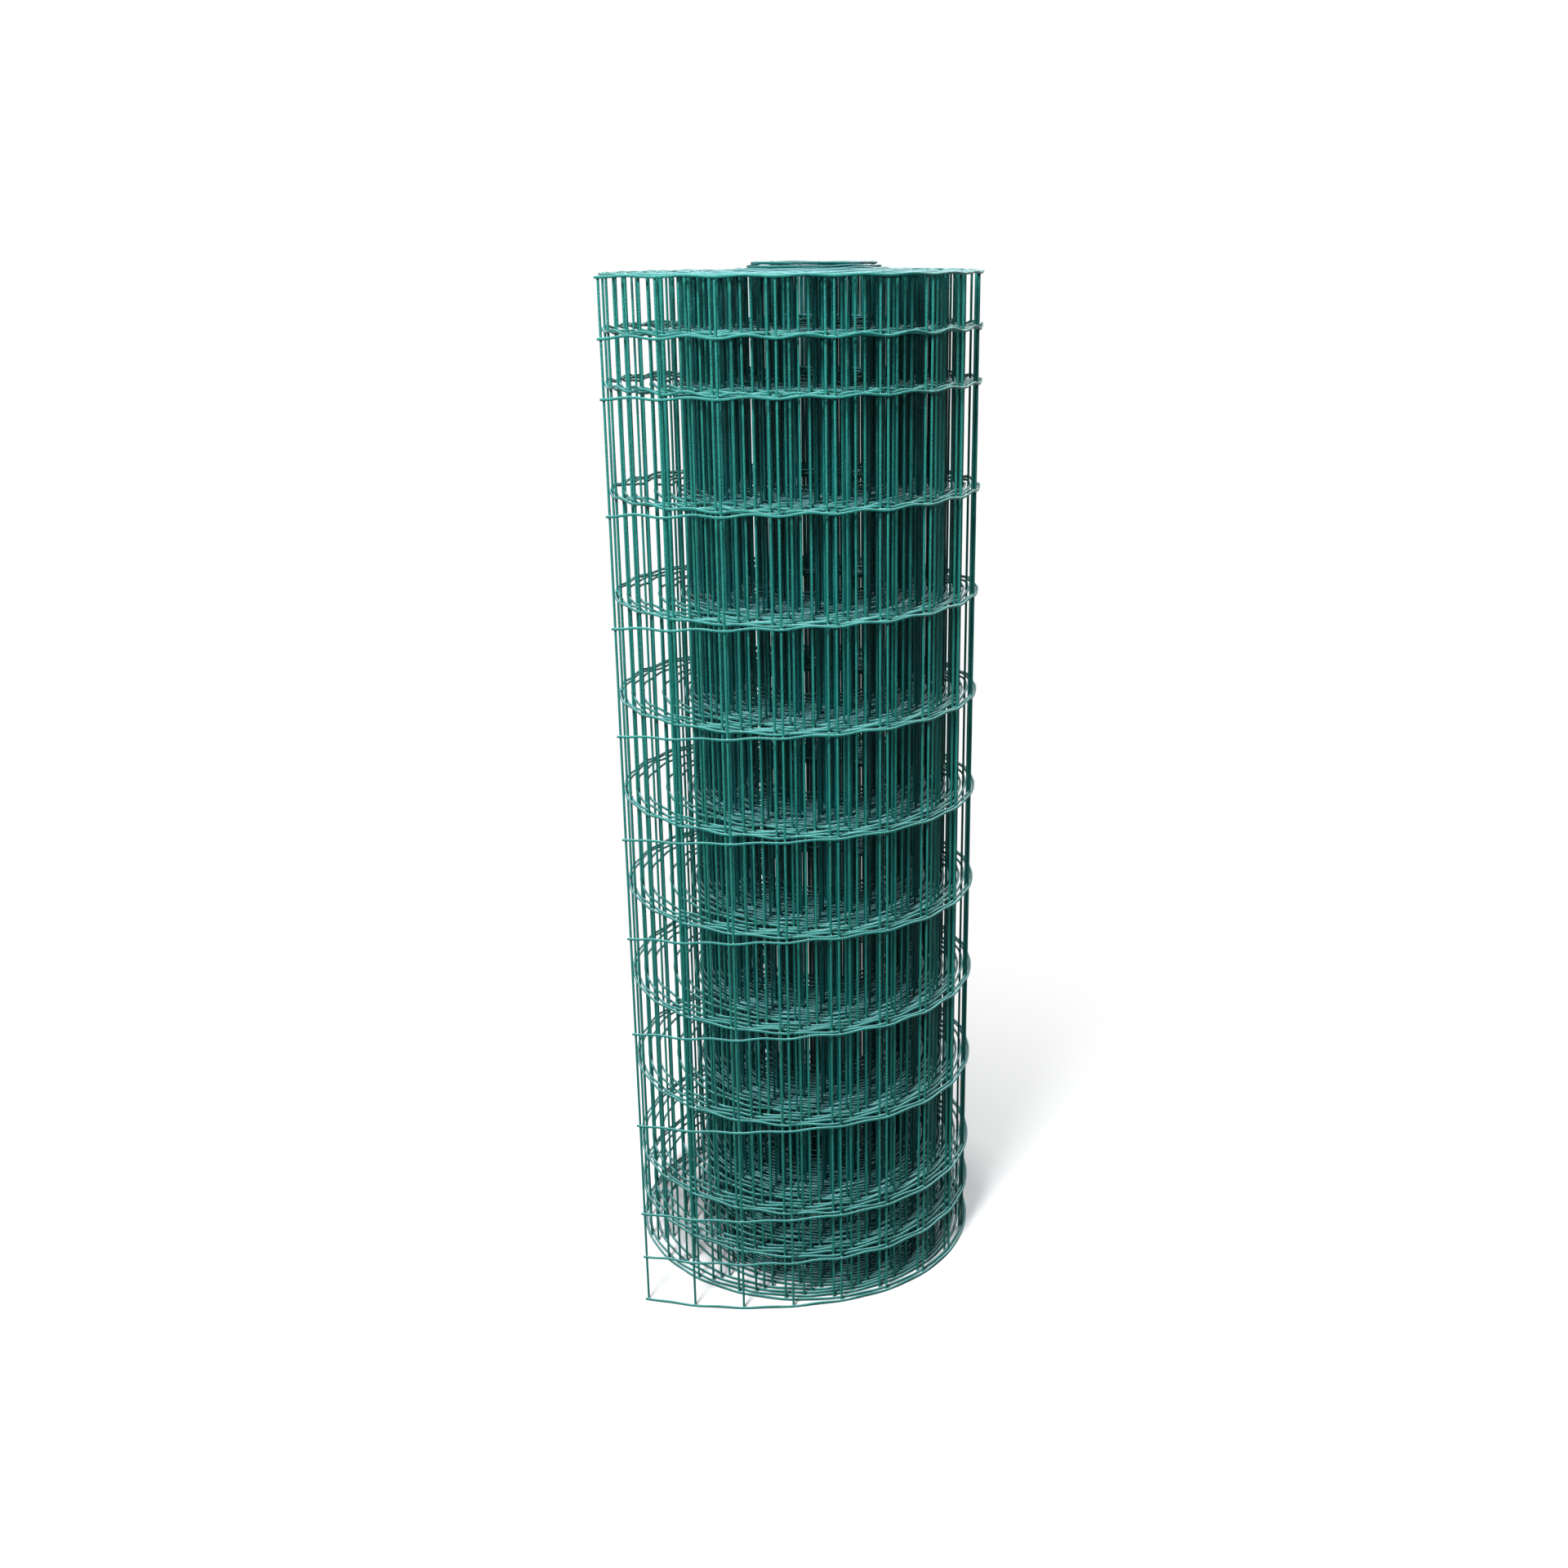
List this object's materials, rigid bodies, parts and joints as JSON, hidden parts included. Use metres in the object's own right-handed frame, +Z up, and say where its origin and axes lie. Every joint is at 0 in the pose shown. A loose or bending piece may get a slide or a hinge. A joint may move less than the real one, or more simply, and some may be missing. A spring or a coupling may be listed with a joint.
{
  "type": "roll of wire fencing",
  "caption": "Roll of plastic-coated welded wire mesh fencing standing on its end, wound round an open core, with its free end sprung loose.",
  "frame": {"origin": "on the axis of the bore, in the plane of the floor that the roll stands on", "axes": "+Z up along the bore; the free end leaves the roll on its -Y side and trails towards -X"},
  "size_m": [0.3583, 0.3651, 1.0104],
  "materials": {
    "coated_wire": "glossy dark green plastic coat over steel wire"
  },
  "bodies": {
    "root": {"fence_roll": "coated_wire"}
  },
  "joints": []
}
